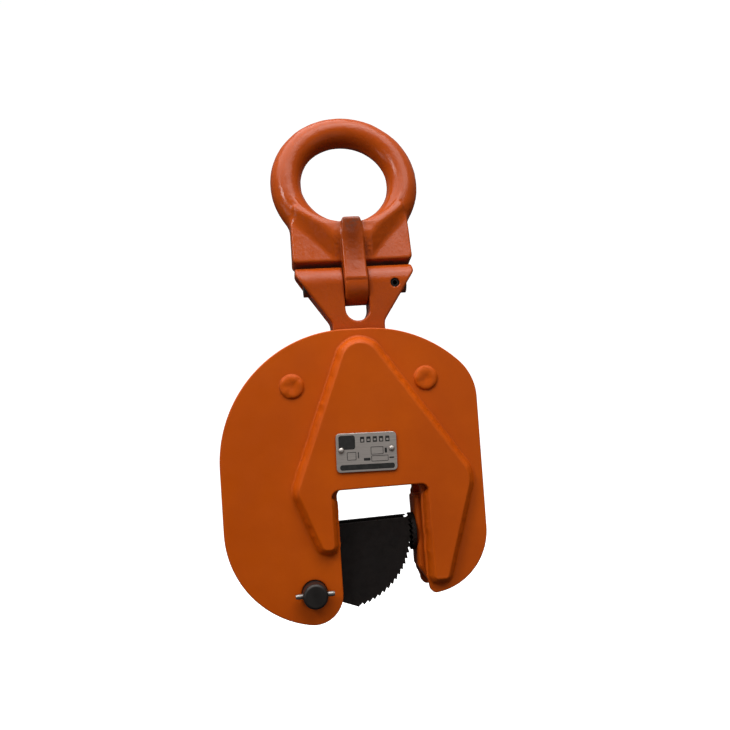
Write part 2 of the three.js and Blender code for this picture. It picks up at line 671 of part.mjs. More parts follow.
piece("lifting_eye", lifterEye(), orange);
piece("pull_plate", pullPlate(), orange);
piece("hinge_pin", hingePin(), black);
piece("hinge_roll_pin", rollPin(), black);
piece("upper_link_pin", chamferedPin(UPPER_PIN_R, PULL_HALF - PIN_INSET, 0.8, LINK_TOP.x, LINK_TOP.z), steel);
piece("connecting_link", connectingLink(), steel);
piece("front_side_plate", sidePlate(true), orange);
piece("rear_side_plate", sidePlate(false), orange);
piece("front_reinforcement_plate", drilledReinforcement(), orange);
piece("rear_reinforcement_plate", reinforcement(false), orange);
piece("left_spacer_rivet", spacerRivet(RIVET_LEFT), orange);
piece("right_spacer_rivet", spacerRivet(RIVET_RIGHT), orange);
piece("jaw_block", jawBlock(), orange);
piece("jaw_pad", jawPad(), black);
piece("jaw_pad_screw", padScrew(), black);
piece("cam", cam(), black);
piece("cam_pin", camPin(), black);
piece("cam_pin_front_roll_pin", crossPin(-CROSS_PIN_Y), steel);
piece("cam_pin_rear_roll_pin", crossPin(CROSS_PIN_Y), steel);
piece("lower_link_pin", chamferedPin(LINK_PIN_R, CAM_HALF - PIN_INSET, 0.6, armPin.x, armPin.z), steel);
piece("closing_spring", spring(), steel);
piece("spring_anchor_pin", anchorPin(), steel);
piece("rating_plate", ratingPlate(), aluminium);
piece("rating_plate_left_pin", labelPin(-1), aluminium);
piece("rating_plate_right_pin", labelPin(1), aluminium);

export default clamp;
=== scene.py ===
"""Looks of the plate lifting clamp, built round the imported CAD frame.

Shapes are worked out in millimetres in the frame of the CAD source, where x = 0 is the load line,
y = 0 is mid-depth and height 0 is just above the jaw mouth's ceiling, and are then set into the
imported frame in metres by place().
"""
import math

import bpy
import numpy as np
from mathutils import Matrix, Vector
from mathutils.geometry import tessellate_polygon


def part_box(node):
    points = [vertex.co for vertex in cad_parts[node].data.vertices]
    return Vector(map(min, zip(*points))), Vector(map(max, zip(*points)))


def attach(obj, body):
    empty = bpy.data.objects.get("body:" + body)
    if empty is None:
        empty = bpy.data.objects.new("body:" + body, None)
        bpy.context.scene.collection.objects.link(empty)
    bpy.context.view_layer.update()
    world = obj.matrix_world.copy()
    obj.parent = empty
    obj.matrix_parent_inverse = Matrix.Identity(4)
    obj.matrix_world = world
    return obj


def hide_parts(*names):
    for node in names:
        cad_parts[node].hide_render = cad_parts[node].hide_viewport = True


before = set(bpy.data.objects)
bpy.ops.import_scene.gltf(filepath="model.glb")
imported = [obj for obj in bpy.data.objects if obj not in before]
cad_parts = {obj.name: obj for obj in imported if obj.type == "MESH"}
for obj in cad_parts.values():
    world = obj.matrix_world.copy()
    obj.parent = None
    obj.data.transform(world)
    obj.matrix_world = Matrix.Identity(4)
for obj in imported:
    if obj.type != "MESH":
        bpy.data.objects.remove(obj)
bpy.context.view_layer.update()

# ---- the CAD's own dimensions, in millimetres
MM = 0.001
OUTER_Y = 16.0
HALF_GAP = 10.0
REINFORCEMENT_T = 6.0
TOP_Z = 92.8
LEFT_X, RIGHT_X = -87.4, 67.5
TOP_LEFT_R, TOP_RIGHT_R, TOP_RIGHT_CX, SHOULDER_R = 77.2, 79.6, 2.4, 31.4
LOWER_LEFT = (-29.9, -21.0, 57.5)
LOWER_RIGHT_R, LOWER_RIGHT_CZ = 36.3, -30.1
LOBE = (-37.7, -61.1)
LEG_TIP_R, LEAD_IN = 3.5, 1.6
MOUTH_RIGHT, MOUTH_CEILING, MOUTH_CORNER_R = 29.2, -1.0, 4.0
PIVOT = (-37.7, -59.3)
PAD_Z, JAW_FACE_X = -31.2, 26.0
HINGE_Z, HORN_HALF_W, NECK_HALF_W, NECK_Z = 120.2, 36.2, 16.0, 97.4
HORN_SIDE_Z, HORN_RISE = 127.0, 12.0
PULL_HALF, FORK_HALF = 9.0, 4.4
SLOT_HALF_W, SLOT_BOTTOM_Z = 7.45, 98.2
ROLL_PIN_X = 23.8
LINK_TOP = (-16.0, 44.0)
EYE_TILT = math.radians(14)
RING_CENTRE, RING_R, STOCK_R = 70.0, 37.3, 9.5
BLOCK_HALF_W, BLOCK_HALF_T, BLOCK_BOTTOM, BLOCK_TOP = 37.2, 7.5, 14.0, 42.0
LABEL_X, LABEL_Z, LABEL_W, LABEL_H = -2.7, 20.0, 36.0, 23.0
KNUCKLE_R, KNUCKLE_HALF_W, HINGE_BORE_R = 12.0, 7.05, 5.8
RIVET_X, RIVET_Z = (-43.2, 36.8), 60.8
CAM_PIN_R, CROSS_PIN_Y = 7.2, 20.6
LEAD_IN_Z, JAW_TOP_Z = -51.2, -9.2
CORNERS = [
    (-4.8, 96.6, 11.2), (59, 1.9, 14), (40.5, -57.3, 2.2), (32.6, -57.3, 2.2), (32.6, -1, 4.5),
    (-24.7, -1, 4.5), (-24.7, -34.6, 2.5), (-31.1, -34.6, 3), (-43.9, -0.4, 9),
]

front_low, front_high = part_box("front_side_plate")
_, rear_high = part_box("rear_side_plate")
ORIGIN = np.array([0.0, (front_low.y + rear_high.y) / 2, front_high.z - TOP_Z * MM])


def place(points):
    """Millimetres in the CAD source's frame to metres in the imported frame."""
    return np.asarray(points, float) * MM + ORIGIN


# ---- smooth, seeded noise

def make_waves(seed, count, scale):
    rng = np.random.default_rng(seed)
    directions = rng.normal(size=(count, 3))
    directions /= np.linalg.norm(directions, axis=1)[:, None]
    lengths = 2 * math.pi / (scale * rng.uniform(0.6, 1.7, count))
    return directions * lengths[:, None], rng.uniform(0, 2 * math.pi, count)


def waves(points, seed, scale, count=24):
    """A smooth field between about -1 and 1 whose bumps are scale millimetres apart."""
    k, phase = make_waves(seed, count, scale)
    return np.sin(np.asarray(points) @ k.T + phase).sum(1) / math.sqrt(count)


# ---- outlines in x and z

def arc(cx, cz, r, a0, a1, step=2.0):
    n = max(2, int(abs(a1 - a0) * r / step) + 1)
    a = np.linspace(a0, a1, n)
    return np.column_stack([cx + r * np.cos(a), cz + r * np.sin(a)])


def joined(*pieces):
    """Pieces end to end without repeated points, anticlockwise."""
    points = np.vstack(pieces)
    keep = np.linalg.norm(points - np.roll(points, 1, 0), axis=1) > 1e-4
    points = points[keep]
    x, z = points.T
    area = (x * np.roll(z, -1) - np.roll(x, -1) * z).sum()
    return points if area > 0 else points[::-1]


def rounded(corners, step=1.0):
    pieces = []
    for i, (x, z, r) in enumerate(corners):
        c = np.array([x, z], float)
        back = np.array(corners[i - 1][:2]) - c
        on = np.array(corners[(i + 1) % len(corners)][:2]) - c
        back, on = back / np.linalg.norm(back), on / np.linalg.norm(on)
        if r == 0:
            pieces.append(c[None])
            continue
        half = math.acos(np.clip(back @ on, -1, 1)) / 2
        reach = r / math.tan(half)
        middle = (back + on) / np.linalg.norm(back + on)
        centre = c + middle * r / math.sin(half)
        a0 = math.atan2(*(c + back * reach - centre)[::-1])
        a1 = math.atan2(*(c + on * reach - centre)[::-1])
        turn = (a1 - a0 + math.pi) % (2 * math.pi) - math.pi
        pieces.append(arc(*centre, r, a0, a0 + turn, step))
    return joined(*pieces)


def resampled(loop, step):
    """The closed loop with a point about every step millimetres, keeping its corners."""
    out = []
    for a, b in zip(loop, np.roll(loop, -1, 0)):
        n = max(1, int(round(np.linalg.norm(b - a) / step)))
        out += [a + (b - a) * k / n for k in range(n)]
    return np.array(out)


def circle(x, z, r, n=48):
    a = np.linspace(0, 2 * math.pi, n, endpoint=False)
    return np.column_stack([x + r * np.cos(a), z + r * np.sin(a)])


def inward(loop):
    """Offset direction into the material at each point, scaled so that edges move evenly."""
    before, after = loop - np.roll(loop, 1, 0), np.roll(loop, -1, 0) - loop
    n = []
    for e in (before, after):
        e = e / np.linalg.norm(e, axis=1)[:, None]
        n.append(np.column_stack([-e[:, 1], e[:, 0]]))
    dot = (n[0] * n[1]).sum(1)
    return (n[0] + n[1]) / (1 + dot)[:, None]


def side_outline():
    cx_left = LEFT_X + TOP_LEFT_R
    shoulder_x = RIGHT_X - SHOULDER_R
    rise = math.sqrt((TOP_RIGHT_R - SHOULDER_R) ** 2 - (shoulder_x - TOP_RIGHT_CX) ** 2)
    shoulder_z = TOP_Z - TOP_RIGHT_R + rise
    meet = math.atan2(rise, shoulder_x - TOP_RIGHT_CX)
    lower_x = RIGHT_X - LOWER_RIGHT_R
    lx, lz, lr = LOWER_LEFT
    lobe_meet = math.atan2(LOBE[1] - lz, LOBE[0] - lx)
    lobe_r = lr - math.hypot(LOBE[0] - lx, LOBE[1] - lz)
    mouth_left = LOBE[0] + lobe_r
    tip_x = MOUTH_RIGHT + LEAD_IN + LEG_TIP_R
    drop = math.sqrt((LOWER_RIGHT_R - LEG_TIP_R) ** 2 - (tip_x - lower_x) ** 2)
    tip_z = LOWER_RIGHT_CZ - drop
    tip_meet = math.atan2(tip_z - LOWER_RIGHT_CZ, tip_x - lower_x)
    c, turn, q = MOUTH_CORNER_R, 2 * math.pi, math.pi / 2
    corner_z = MOUTH_CEILING - c
    return joined(
        arc(TOP_RIGHT_CX, TOP_Z - TOP_RIGHT_R, TOP_RIGHT_R, meet, q),
        arc(cx_left, TOP_Z - TOP_LEFT_R, TOP_LEFT_R, q, math.pi),
        arc(lx, lz, lr, math.pi, lobe_meet + turn),
        arc(*LOBE, lobe_r, lobe_meet, 0),
        arc(mouth_left + c, corner_z, c, math.pi, q, 0.5),
        arc(MOUTH_RIGHT - c, corner_z, c, q, 0, 0.5),
        [[MOUTH_RIGHT, LEAD_IN_Z]],
        arc(tip_x, tip_z, LEG_TIP_R, math.pi, tip_meet + turn, 0.5),
        arc(lower_x, LOWER_RIGHT_CZ, LOWER_RIGHT_R, tip_meet, 0),
        arc(shoulder_x, shoulder_z, SHOULDER_R, 0, meet),
    )


# ---- meshes

def new_mesh(name, vertices, faces, sharp_deg=38, weighted=False):
    mesh = bpy.data.meshes.new(name)
    mesh.from_pydata(place(vertices).tolist(), [], [list(map(int, f)) for f in faces])
    mesh.validate()
    mesh.update()
    o = bpy.data.objects.new(name, mesh)
    bpy.context.scene.collection.objects.link(o)
    mesh.polygons.foreach_set("use_smooth", [True] * len(mesh.polygons))
    mesh.set_sharp_from_angle(angle=math.radians(sharp_deg))
    if weighted:
        m = o.modifiers.new("weighted_normals", "WEIGHTED_NORMAL")
        m.keep_sharp = True
        m.weight = 80
    return o


def capped(loops, front):
    """Flat faces that fill loops of (first vertex index, points), facing the front or the rear."""
    points = [[Vector((x, z, 0)) for x, z in loop] for _, loop in loops]
    index = np.concatenate([np.arange(start, start + len(loop)) for start, loop in loops])
    flat = np.vstack([loop for _, loop in loops])
    faces = []
    for a, b, c in tessellate_polygon(points):
        (ax, az), (bx, bz), (cx, cz) = flat[a], flat[b], flat[c]
        area = (bx - ax) * (cz - az) - (cx - ax) * (bz - az)
        if abs(area) < 1e-9:
            continue
        order = (a, b, c) if (area > 0) == front else (a, c, b)
        faces.append([index[k] for k in order])
    return faces


def lofted(rings, first):
    """Quads between rings of equal length that start at vertex index first."""
    faces, n = [], len(rings[0])
    for k in range(len(rings) - 1):
        a, b = first + k * n, first + (k + 1) * n
        for i in range(n):
            j = (i + 1) % n
            faces.append([a + i, b + i, b + j, a + j])
    return faces


def plate(name, outer, holes, y0, y1, edge=0.7, steps=4, **look):
    """A flat plate with rounded edges; outer runs anticlockwise."""
    vertices, faces, fronts, backs = [], [], [], []
    turns = np.linspace(0, math.pi / 2, steps + 1)
    for loop in [outer] + [h[::-1] for h in holes]:
        move = inward(loop)
        rings = []
        for t in turns:
            rings.append((edge * (1 - math.sin(t)), y0 + edge * (1 - math.cos(t))))
        rings += [(d, y0 + y1 - y) for d, y in reversed(rings)]
        first = len(vertices)
        full = [np.insert(loop + move * d, 1, y, axis=1) for d, y in rings]
        faces += lofted(full, first)
        vertices += [p for ring in full for p in ring]
        fronts.append((first, full[0][:, [0, 2]]))
        backs.append((first + (len(full) - 1) * len(loop), full[-1][:, [0, 2]]))
    faces += capped(fronts, True) + capped(backs, False)
    return new_mesh(name, vertices, faces, weighted=True, **look)


def turned(name, profile, x, z, n=64, shape=None, **look):
    """A turned piece from (radius, depth) points, first and last on its axis.

    shape(radius, angle, depth) may return a change of depth for each point.
    """
    a = np.linspace(0, 2 * math.pi, n, endpoint=False)
    vertices, faces = [], []
    inner = profile[1:-1]
    for r, y in inner:
        dy = shape(r, a, y) if shape else 0
        vertices += list(np.column_stack([r * np.cos(a), np.full(n, y) + dy, r * np.sin(a)]))
    faces += lofted([range(n)] * len(inner), 0)
    for end, ring in ((profile[0], 0), (profile[-1], (len(inner) - 1) * n)):
        centre = len(vertices)
        dy = float(np.mean(shape(end[0], a, end[1]))) if shape else 0
        vertices.append(np.array([0, end[1] + dy, 0]))
        for i in range(n):
            j = (i + 1) % n
            face = [centre, ring + i, ring + j]
            faces.append(face if ring == 0 else face[::-1])
    return new_mesh(name, np.array(vertices) + [x, 0, z], faces, **look)


# ---- solids from distance fields

def union(a, b, k):
    h = np.clip(0.5 + 0.5 * (b - a) / k, 0, 1)
    return b + (a - b) * h - k * h * (1 - h)


def common(a, b, k):
    return -union(-a, -b, k)


def without(a, b, k):
    return common(a, -b, k)


def filleted(a, b, r):
    """The part inside both a and b, with its edge rounded to radius r."""
    qa, qb = a + r, b + r
    outside = np.hypot(np.maximum(qa, 0), np.maximum(qb, 0))
    return np.minimum(np.maximum(qa, qb), 0) + outside - r


def outline_distance(loop, x, z):
    """Signed distance to a closed outline, negative inside."""
    best = np.full(x.shape, 1e9)
    crossings = np.zeros(x.shape, int)
    for (ax, az), (bx, bz) in zip(loop, np.roll(loop, -1, 0)):
        ex, ez = bx - ax, bz - az
        t = np.clip(((x - ax) * ex + (z - az) * ez) / (ex * ex + ez * ez), 0, 1)
        best = np.minimum(best, (x - ax - t * ex) ** 2 + (z - az - t * ez) ** 2)
        over = (az > z) != (bz > z)
        if az != bz:
            crossings += over & (x < ax + (z - az) * ex / ez)
    return np.sqrt(best) * np.where(crossings % 2, -1, 1)


def meshed(field, low, high, step):
    """Vertices and quads of the field's zero surface, by surface nets drawn on to the surface."""
    axes = [np.arange(a, b + step, step) for a, b in zip(low, high)]
    grid = np.stack(np.meshgrid(*axes, indexing="ij"), -1)
    value = field(grid[..., 0], grid[..., 1], grid[..., 2])
    shape = np.array(value.shape) - 1
    corners = [(i, j, k) for i in (0, 1) for j in (0, 1) for k in (0, 1)]

    def corner(array, c):
        return array[tuple(slice(c[d], c[d] + shape[d]) for d in range(3))]

    count = sum((corner(value, c) < 0).astype(np.int8) for c in corners)
    active = (count > 0) & (count < 8)
    number = np.full(active.shape, -1)
    number[active] = np.arange(active.sum())
    total = np.zeros((active.sum(), 3))
    hits = np.zeros(active.sum())
    for a in corners:
        for d in range(3):
            if a[d]:
                continue
            b = tuple(1 if e == d else a[e] for e in range(3))
            va, vb = corner(value, a)[active], corner(value, b)[active]
            cut = (va < 0) != (vb < 0)
            t = np.where(cut, va / np.where(cut, va - vb, 1), 0)
            total += cut[:, None] * (np.array(a) + t[:, None] * (np.array(b) - np.array(a)))
            hits += cut
    cells = np.argwhere(active)
    points = np.array(low) + (cells + total / hits[:, None]) * step
    h = 0.05
    for _ in range(4):
        x, y, z = points.T
        here = field(x, y, z)
        slope = np.stack([
            field(x + h, y, z) - field(x - h, y, z),
            field(x, y + h, z) - field(x, y - h, z),
            field(x, y, z + h) - field(x, y, z - h),
        ], 1) / (2 * h)
        move = here[:, None] * slope / np.maximum((slope ** 2).sum(1), 0.2)[:, None]
        points = points - np.clip(move, -0.4 * step, 0.4 * step)
    faces = []
    for d in range(3):
        e, f = [(1, 2), (2, 0), (0, 1)][d]
        here = [slice(None)] * 3
        there = [slice(None)] * 3
        here[d], there[d] = slice(0, shape[d]), slice(1, shape[d] + 1)
        for g in (e, f):
            here[g] = there[g] = slice(1, shape[g])
        v0, v1 = value[tuple(here)], value[tuple(there)]
        for flip in (False, True):
            where = np.argwhere((v0 < 0) & (v1 >= 0) if not flip else (v0 >= 0) & (v1 < 0))
            where[:, e] += 1
            where[:, f] += 1
            quad = []
            for de, df in ((-1, -1), (0, -1), (0, 0), (-1, 0)):
                cell = where.copy()
                cell[:, e] += de
                cell[:, f] += df
                quad.append(number[tuple(cell.T)])
            quad = np.stack(quad if not flip else quad[::-1], 1)
            faces.append(quad)
    return points, np.vstack(faces)


# ---- the lifting eye, in its own upright frame with the hinge at height 0

def eye_field(x, y, z):
    ax, ay = np.abs(x), np.abs(y)
    rz = z - RING_CENTRE
    rho = np.hypot(x, rz)
    inner_seam = 0.45 * np.exp(-(y / 0.8) ** 2) * (rho < RING_R)
    stock = STOCK_R + inner_seam * np.clip(rz / 20 + 1, 0, 1)
    ring = np.hypot(rho - RING_R, y) - stock
    in_hole = RING_R - rho
    half_w = BLOCK_HALF_W - 0.2 - 0.5 * np.clip((z - 12) / 30, 0, 1)
    wide = common(ax - half_w, BLOCK_BOTTOM - z, 3.0)
    wide = common(wide, z - BLOCK_TOP - 1.5 + 0.12 * (BLOCK_HALF_W - ax), 4.0)
    block = filleted(wide, ay - BLOCK_HALF_T, 1.3)
    block = np.maximum(block, in_hole)
    # Facets that slope from the ring's front ridge down to the block's face.
    diagonal = ((z - 15.5) * 24.0 - np.maximum(ax - 12.0, 0) * 27.5) / math.hypot(24.0, 27.5)
    climb = BLOCK_HALF_T - 0.3 + 0.72 * np.maximum(diagonal, -2)
    crest = 13.6 - 4.4 * np.clip((z - 37) / 21, 0, 1)
    to_hole = RING_R - np.hypot(x, rz - 4.3) - 0.4 * (crest - ay)
    web = common(ay - climb, ay - crest, 1.4)
    web = common(web, to_hole / 1.08, 0.6)
    web = common(web, rho - RING_R - 1 - 30 * np.clip((52 - z) / 18, 0, 1), 3.0)
    web = np.maximum(web, BLOCK_BOTTOM + 0.5 - z)
    web = common(web, ax - 35.5, 3.0)
    web = common(web, z - 62, 6.0)
    body = union(ring, block, 3.2)
    body = union(body, web * 0.85, 0.9)
    # The central rib, hollow down its front, that wraps over the ring's lowest point.
    rib_half = 6.9 - 1.5 * np.clip((z - 22) / 20, 0, 1) ** 2
    rib_front = 12.3 + 0.0048 * (z - 10) ** 2
    rib = filleted(filleted(ax - rib_half, ay - rib_front, 1.1), z - 40.0, 2.5)
    rib = np.maximum(rib, -z)
    rib = common(rib, RING_R - STOCK_R - 0.7 - rho, 1.2)
    band = filleted(np.hypot(rho - RING_R, y) - STOCK_R - 0.55, ax - 5.3, 0.6)
    band = np.maximum(band, rz)
    body = union(body, union(rib, band, 1.2), 1.1)
    knuckle = filleted(np.hypot(y, z) - KNUCKLE_R, ax - KNUCKLE_HALF_W, 0.8)
    body = union(body, knuckle, 0.8)
    return without(body, np.hypot(y, z) - HINGE_BORE_R, 0.4)


def lean(points):
    x, y, z = points.T
    c, s = math.cos(EYE_TILT), math.sin(EYE_TILT)
    return np.column_stack([x, y * c + z * s, z * c - y * s + HINGE_Z])


def lifting_eye():
    points, faces = meshed(eye_field, (-47.5, -17.6, -13.2), (47.5, 17.6, 119), 0.8)
    out = points - [0, 0, RING_CENTRE]
    out[:, 1] *= 3
    out /= np.linalg.norm(out, axis=1)[:, None]
    forged = 0.10 * waves(points, 3, 17) + 0.035 * waves(points, 4, 4.5)
    lower = np.clip((34 - points[:, 2]) / 10, 0, 1) * np.clip((points[:, 2] - 11) / 3, 0, 1)
    beside = np.exp(-((np.abs(points[:, 0]) - 9.5) / 2.6) ** 2)
    rough = 0.16 * waves(points, 5, 2.2) * lower * beside
    ends = np.abs(points[:, 0]) > 6.2
    calm = np.where((points[:, 2] < 11) & ends, 0.2, 1.0)
    moved = points + out * ((forged + rough) * calm)[:, None]
    return new_mesh("lifting_eye_forging", lean(moved), faces, sharp_deg=80)


# ---- the pull plate

def pull_field(x, y, z):
    loop = pull_loop
    flat = outline_distance(loop, x, z)
    depth = np.hypot(y, np.maximum(z - HINGE_Z, 0) * PULL_HALF / HORN_RISE) - PULL_HALF
    body = filleted(flat, depth, 1.3)
    slot_z = SLOT_BOTTOM_Z + SLOT_HALF_W
    slot = np.hypot(x, np.minimum(z - slot_z, 0)) - SLOT_HALF_W
    body = without(body, slot, 1.0)
    fork = np.maximum(np.abs(y) - FORK_HALF, z - 58)
    body = without(body, fork, 0.5)
    body = without(body, np.hypot(y, z - HINGE_Z) - HINGE_BORE_R, 0.5)
    body = without(body, np.hypot(x - ROLL_PIN_X, z - HINGE_Z) - 2.75, 0.5)
    return without(body, np.hypot(x - LINK_TOP[0], z - LINK_TOP[1]) - 4.3, 0.4)


pull_loop = rounded([
    (-HORN_HALF_W, HINGE_Z + 20, 0), (-HORN_HALF_W, HORN_SIDE_Z, 2), (-NECK_HALF_W, NECK_Z, 6),
    (-NECK_HALF_W, 72, 14), (-28, 56, 9), (-28, 33, 11), (-4, 33, 10), (6, 54, 10),
    (NECK_HALF_W, 66, 12), (NECK_HALF_W, NECK_Z, 6), (HORN_HALF_W, HORN_SIDE_Z, 2),
    (HORN_HALF_W, HINGE_Z + 20, 0),
], 1.5)


def pull_plate():
    points, faces = meshed(pull_field, (-37.5, -10, 31.5), (37.5, 10, 134), 0.75)
    points[:, 1] += 0.05 * waves(points, 8, 14) * np.sign(points[:, 1])
    return new_mesh("pull_plate_forging", points, faces, sharp_deg=60)


# ---- reinforcement plate with its weld bead

def bead_profile(leg, height, bulge, flat, toe):
    """Points (outwards, height) from the plate's face over its edge and down to the weld's toe."""
    slope = np.array([leg, -height])
    length = np.linalg.norm(slope)
    slope = slope / length
    bulging = np.array([-slope[1], slope[0]])
    r_top, r_toe = min(0.75, 0.3 * length), min(0.8, 0.35 * leg)
    points = [np.array([-flat, height])]
    b, c = np.array([0.0, height]), np.array([leg, 0.0])
    for t in (0, 0.33, 0.67, 1):
        points.append((1 - t) ** 2 * (b - [r_top, 0]) + 2 * t * (1 - t) * b + t * t * (b + slope * r_top))
    straight = length - r_top - r_toe
    for t in (0.2, 0.35, 0.5, 0.65, 0.8):
        swell = bulging * bulge * 4 * t * (1 - t)
        points.append(b + slope * (r_top + straight * t) + swell)
    for t in (0, 0.5, 1):
        points.append((1 - t) ** 2 * (c - slope * r_toe) + 2 * t * (1 - t) * c + t * t * (c + [r_toe, 0]))
    points.append(np.array([leg + r_toe + toe, -0.05]))
    return np.array(points)


def reinforcement(name, sign, seed):
    loop = resampled(rounded(CORNERS, 0.6), 0.8)
    outward = -inward(loop)
    outward /= np.linalg.norm(outward, axis=1)[:, None]
    x, z = loop.T
    in_mouth = (x > -25.5) & (x < 33.2) & (z < 0)
    in_mouth &= ~((z < -33.5) & (x < 0)) & ~(z < -56.5)
    grown = np.sqrt(np.clip((-5.0 - z) / 3.0, 0, 1))
    leg = np.where(in_mouth, 0.12 + 3.0 * grown, 3.8)
    walk = np.column_stack([x, np.zeros(len(x)), z])
    wobble = waves(walk, seed, 9)
    ripple = waves(walk, seed + 1, 2.3)
    welded = np.where(in_mouth, grown, 1.0)
    leg = leg + welded * (0.16 * wobble + 0.05 * ripple)
    bulge = welded * (0.42 + 0.14 * waves(walk, seed + 2, 6) + 0.07 * ripple)
    toe = np.where(in_mouth, 0.05, 0.45)
    profiles = [bead_profile(a, REINFORCEMENT_T, b, 1.2, t) for a, b, t in zip(leg, bulge, toe)]
    rings = []
    for k in range(len(profiles[0])):
        u = np.array([p[k][0] for p in profiles])
        h = np.array([p[k][1] for p in profiles])
        flat = loop + outward * u[:, None]
        rings.append(np.column_stack([flat[:, 0], -OUTER_Y - h, flat[:, 1]]))
    faces = lofted(rings, 0)
    n = len(loop)
    faces += capped([(0, rings[0][:, [0, 2]])], True)
    faces += capped([((len(rings) - 1) * n, rings[-1][:, [0, 2]])], False)
    vertices = np.vstack(rings)
    if sign > 0:
        vertices[:, 1] *= -1
        faces = [f[::-1] for f in faces]
    return new_mesh(name, vertices, faces, sharp_deg=50, weighted=True)


# ---- turned and small pieces

def rivet_profile():
    """From the front head to the rear head, along depth."""
    top = OUTER_Y + 1.6
    head = [(2.0, top), (4.2, top), (5.6, top - 0.06), (6.3, top - 0.28), (6.75, top - 0.7),
            (6.9, top - 1.2), (7.1, OUTER_Y + 0.15), (7.6, OUTER_Y - 0.05), (5.0, OUTER_Y - 0.1)]
    head += [(5.0, HALF_GAP), (7.4, HALF_GAP - 0.05), (8.0, HALF_GAP - 0.6)]
    front = [(0, -top)] + [(r, -y) for r, y in head]
    return front + [(r, y) for r, y in reversed(head)] + [(0, top)]


def spacer_rivet(name, x, z, seed):
    def dent(r, a, y):
        on_head = np.clip((abs(y) - OUTER_Y - 0.9) * 2, 0, 1)
        p = np.column_stack([r * np.cos(a) + x, np.full(len(a), y), r * np.sin(a) + z])
        hollow = -0.5 * math.exp(-(r / 2.4) ** 2) + 0.22 * math.exp(-((r - 4.4) / 1.1) ** 2)
        lump = 0.16 * waves(p, seed, 5)
        return np.sign(y) * on_head * (hollow + lump - 0.25)
    return turned(name, rivet_profile(), x, z, 56, shape=dent, sharp_deg=60)


def cam_pin():
    half, r = 26.0, CAM_PIN_R
    end = [(0, -half + 0.12), (1.6, -half + 0.1), (3.8, -half + 0.03), (5.6, -half), (6.05, -half + 0.04),
           (6.9, -half + 0.85), (7.12, -half + 1.15), (r, -half + 1.5), (r, -half + 8.2),
           (r - 0.12, -half + 8.5), (r - 0.12, -half + 9.2), (r, -half + 9.5)]
    return turned("cam_pin_turned", end + [(a, -b) for a, b in reversed(end)], *PIVOT, 64, sharp_deg=40)


def roll_pin(name, y, seed):
    """A slotted spring pin through the cam pin, with tapered ends."""
    half, outer, wall = 11.2, 1.5, 0.55
    angles = np.radians(np.linspace(18, 342, 28)) + 0.9 + seed
    rings = []
    taper = ((half, 0.3), (half - 0.9, 0.04), (half - 1.2, 0))
    stations = [(-dx, shrink) for dx, shrink in taper] + list(taper[::-1])
    for dx, shrink in stations:
        out = [(dx, (outer - shrink) * math.cos(a), (outer - shrink) * math.sin(a)) for a in angles]
        ins = [(dx, (outer - wall) * math.cos(a), (outer - wall) * math.sin(a)) for a in angles[::-1]]
        rings.append(np.array(out + ins) + [PIVOT[0], y, PIVOT[1]])
    n = len(rings[0])
    faces = []
    for k in range(len(rings) - 1):
        for i in range(n):
            j = (i + 1) % n
            faces.append([k * n + i, k * n + j, (k + 1) * n + j, (k + 1) * n + i])
    half_n = n // 2
    for i in range(half_n - 1):
        a, b, c, d = i, i + 1, n - 2 - i, n - 1 - i
        faces.append([d, c, b, a])
        last = (len(rings) - 1) * n
        faces.append([last + a, last + b, last + c, last + d])
    return new_mesh(name, np.vstack(rings), faces, sharp_deg=40)


def block_field(x, y, z):
    flat = outline_distance(block_loop, x, z)
    body = filleted(flat, np.abs(y) - 9.95, 2.8)
    r = np.hypot(y, z - PAD_Z)
    body = without(body, np.maximum(r - 7.3, x - 40), 0.4)
    body = without(body, r - 3.3, 0.4)
    return without(body, np.maximum(r - 6, 47 - x), 0.5)


block_loop = rounded([
    (JAW_FACE_X, JAW_TOP_Z, 1), (JAW_FACE_X, -51.5, 2), (33.5, -63.2, 2), (46, -60, 6),
    (54, -48, 4), (54, JAW_TOP_Z, 3),
], 1.0)


def jaw_block():
    points, faces = meshed(block_field, (24.5, -11, -65), (55.5, 11, -7), 0.7)
    points[:, 0] += 0.06 * waves(points, 12, 8)
    return new_mesh("jaw_block_casting", points, faces, sharp_deg=60)


# ---- the rating plate and its drive pins

LABEL_TURN = math.radians(-1.5)


def on_label(x, z):
    """A place on the rating plate, which sits a little crooked, in the source's x and z."""
    c, s = math.cos(LABEL_TURN), math.sin(LABEL_TURN)
    return LABEL_X + x * c - z * s, LABEL_Z + x * s + z * c


def label_loop(x0, x1, z0, z1, r, step=0.4):
    loop = rounded([(x0, z0, r), (x1, z0, r), (x1, z1, r), (x0, z1, r)], step)
    return np.array([on_label(x, z) for x, z in loop])


LABEL_FACE = -OUTER_Y - REINFORCEMENT_T - 0.3 - 0.8


def rating_plate():
    w, h = LABEL_W / 2 - 0.25, LABEL_H / 2 - 0.25
    loop = label_loop(-w, w, -h, h, 2.3)
    return plate("rating_plate_sheet", loop, [], LABEL_FACE, LABEL_FACE + 0.95, edge=0.25, steps=3)


def print_mark(name, loop, holes=(), lift=0.045):
    return plate(name, loop, list(holes), LABEL_FACE - lift, LABEL_FACE + 0.05, edge=0.02, steps=1)


def frame_mark(name, x0, x1, z0, z1, line=0.32):
    outer = label_loop(x0, x1, z0, z1, 0.3)
    inner = label_loop(x0 + line, x1 - line, z0 + line, z1 - line, 0.12)
    return print_mark(name, outer, [inner])


def drive_pin(name, side):
    x, z = on_label(side * 14.8, 1.5)
    face = LABEL_FACE
    profile = [(0, face - 1.2), (0.5, face - 1.17), (1.0, face - 1.02), (1.4, face - 0.72),
               (1.66, face - 0.3), (1.7, face - 0.05), (1.6, face + 0.02), (0.9, face + 0.05),
               (0.9, face + 3.5), (0, face + 3.5)]
    return turned(name, profile, x, z, 28, sharp_deg=50)


